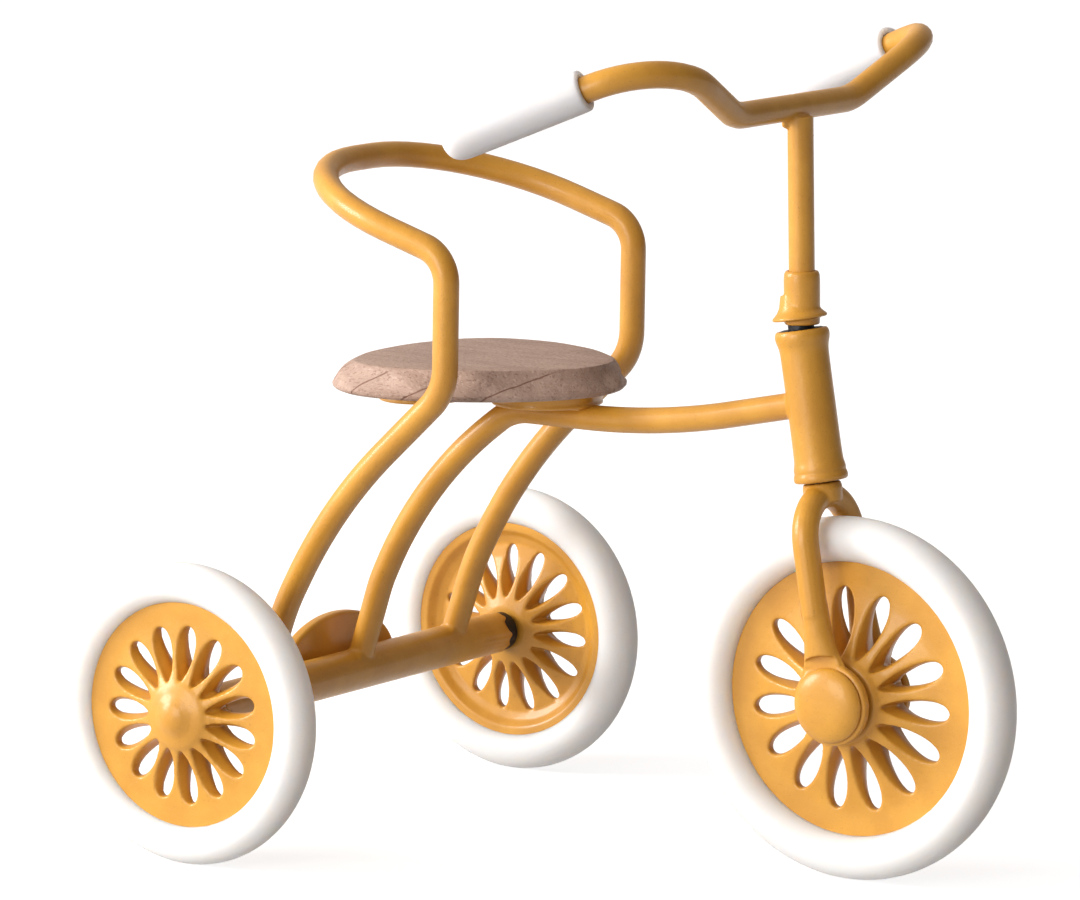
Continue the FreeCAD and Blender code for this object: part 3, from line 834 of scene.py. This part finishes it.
# ---- names, finishes and bodies -----------------------------------------------------------
finished(arm_rail, "painted_arm_rail", "frame", paint, ("arm_rail",))
finished(main_tube, "painted_main_tube", "frame", paint, ("main_tube",))
finished(axle_tube, "painted_axle_tube", "frame", paint, ("axle_tube",))
finished(rear_plate, "painted_rear_plate", "frame", paint, ("rear_plate",))
finished(head_tube, "painted_head_tube", "frame", paint, ("head_tube",), crease=60)
finished(head_liner, "bare_head_liner", "frame", rod_steel)
finished(seat_plate, "pressed_seat_plate", "frame", paint, ("seat_plate",), crease=70)
finished(screws, "crossed_seat_screws", "frame", rod_steel, ("seat_screws",))
finished(saddle, "carved_saddle", "frame", beech, ("seat_board",), crease=50)
finished(joined(frame_welds), "frame_weld_beads", "frame", paint, crease=75)
for side, sign in SIDES.items():
    # painted shade: a dark liner at each end of the axle tube, a black ring put where the gap to
    # the hub only lies in shadow
    liner = turned([(1.38, 28.2), (2.2, 28.2), (2.36, 28.6), (2.36, 31.0), (2.2, 31.2),
                    (1.38, 31.2)], steps=72)
    on_wheel(liner, REAR_AXLE, sign)
    finished(liner, "bare_axle_liner_" + side, "frame", rod_steel)
    finished(axle_cap(side), "domed_axle_cap_" + side, "steering", paint,
             ("axle_cap_" + side,), crease=60)
    finished(grip(side), "soft_grip_" + side, "steering", grip_rubber,
             ("grip_" + side,), crease=60)
finished(fork, "flattened_fork", "steering", paint, ("fork",), crease=70)
finished(collar, "bell_collar", "steering", paint, ("stem_collar",), crease=70)
finished(stem_tube, "painted_stem", "steering", paint, ("stem_tube",))
finished(handlebar, "swept_handlebar", "steering", paint, ("handlebar",))
finished(stem_weld, "stem_weld_bead", "steering", paint, crease=75)
for node in ("rear_axle", "front_axle_pin", "steerer_rod"):
    rod = frame["nodes"][node]
    rod.data.materials.clear()
    rod.data.materials.append(rod_steel)

# ---- the room -----------------------------------------------------------------------------
def camera():
    """The viewing angle: from the front right, a little above, through a long lens."""
    azimuth, elevation, roll = math.radians(33.69), math.radians(8.42), math.radians(-0.28)
    data = bpy.data.cameras.new("camera")
    data.sensor_width = 36
    data.lens = 219.1
    data.clip_end = 20
    view = bpy.data.objects.new("camera", data)
    bpy.context.scene.collection.objects.link(view)
    view.location = Vector((412.9, -634.0, 159.1)) * MM
    turn = Matrix.Rotation(azimuth, 4, "Z") @ Matrix.Rotation(math.pi / 2 - elevation, 4, "X")
    view.rotation_euler = (turn @ Matrix.Rotation(roll, 4, "Z")).to_euler()
    bpy.context.scene.camera = view


LAMP_DISTANCE = 0.9
LAMP_COLOUR = (1.0, 0.985, 0.96)


def softbox(name, azimuth, elevation, size, power):
    """A square light aimed at the middle of the tricycle."""
    aim = Vector((0, 0, 0.045))
    around, up = math.radians(azimuth), math.radians(elevation)
    direction = Vector((math.sin(around) * math.cos(up), -math.cos(around) * math.cos(up),
                        math.sin(up)))
    data = bpy.data.lights.new(name, "AREA")
    data.shape = "SQUARE"
    data.size = size
    data.energy = power
    data.color = LAMP_COLOUR
    lamp = bpy.data.objects.new(name, data)
    bpy.context.scene.collection.objects.link(lamp)
    lamp.location = aim + direction * LAMP_DISTANCE
    lamp.rotation_euler = (aim - lamp.location).to_track_quat("-Z", "Y").to_euler()


def shaded_sky():
    """A sky that is bright on the left, and dark on the right and below."""
    world = bpy.data.worlds.new("sky")
    world.use_nodes = True
    nodes, links = world.node_tree.nodes, world.node_tree.links
    background = next(n for n in nodes if n.type == "BACKGROUND")
    where = nodes.new("ShaderNodeTexCoord")
    towards = nodes.new("ShaderNodeVectorMath")
    towards.operation = "DOT_PRODUCT"
    towards.inputs[1].default_value = (-0.80, -0.35, 0.22)
    ramp = nodes.new("ShaderNodeMapRange")
    for socket, value in zip(ramp.inputs[1:5], (-0.9, 0.9, 0.10, 1.05)):
        socket.default_value = value
    links.new(where.outputs["Generated"], towards.inputs[0])
    links.new(towards.outputs["Value"], ramp.inputs[0])
    links.new(ramp.outputs[0], background.inputs[1])
    background.inputs[0].default_value = (1.0, 0.94, 0.90, 1)
    bpy.context.scene.world = world


def room():
    """A pale glowing floor, a shaded sky, and two low soft lamps on the left and in front."""
    nothing()
    bpy.ops.mesh.primitive_grid_add(x_subdivisions=2, y_subdivisions=2, size=8)
    floor = bpy.context.object
    floor.name = "floor"
    floor.visible_diffuse = False
    card = Finish("floor_card")
    floor.data.materials.append(card.surface(Base_Color=(0.45, 0.45, 0.45, 1), Roughness=0.9,
                                             Specular_IOR_Level=0.0,
                                             Emission_Color=(1, 1, 1, 1), Emission_Strength=0.74))
    shaded_sky()
    softbox("key", azimuth=-58, elevation=20, size=0.36, power=8.6)
    softbox("front", azimuth=-8, elevation=12, size=0.42, power=4.2)
    bpy.context.scene.view_settings.view_transform = "Standard"


camera()
room()
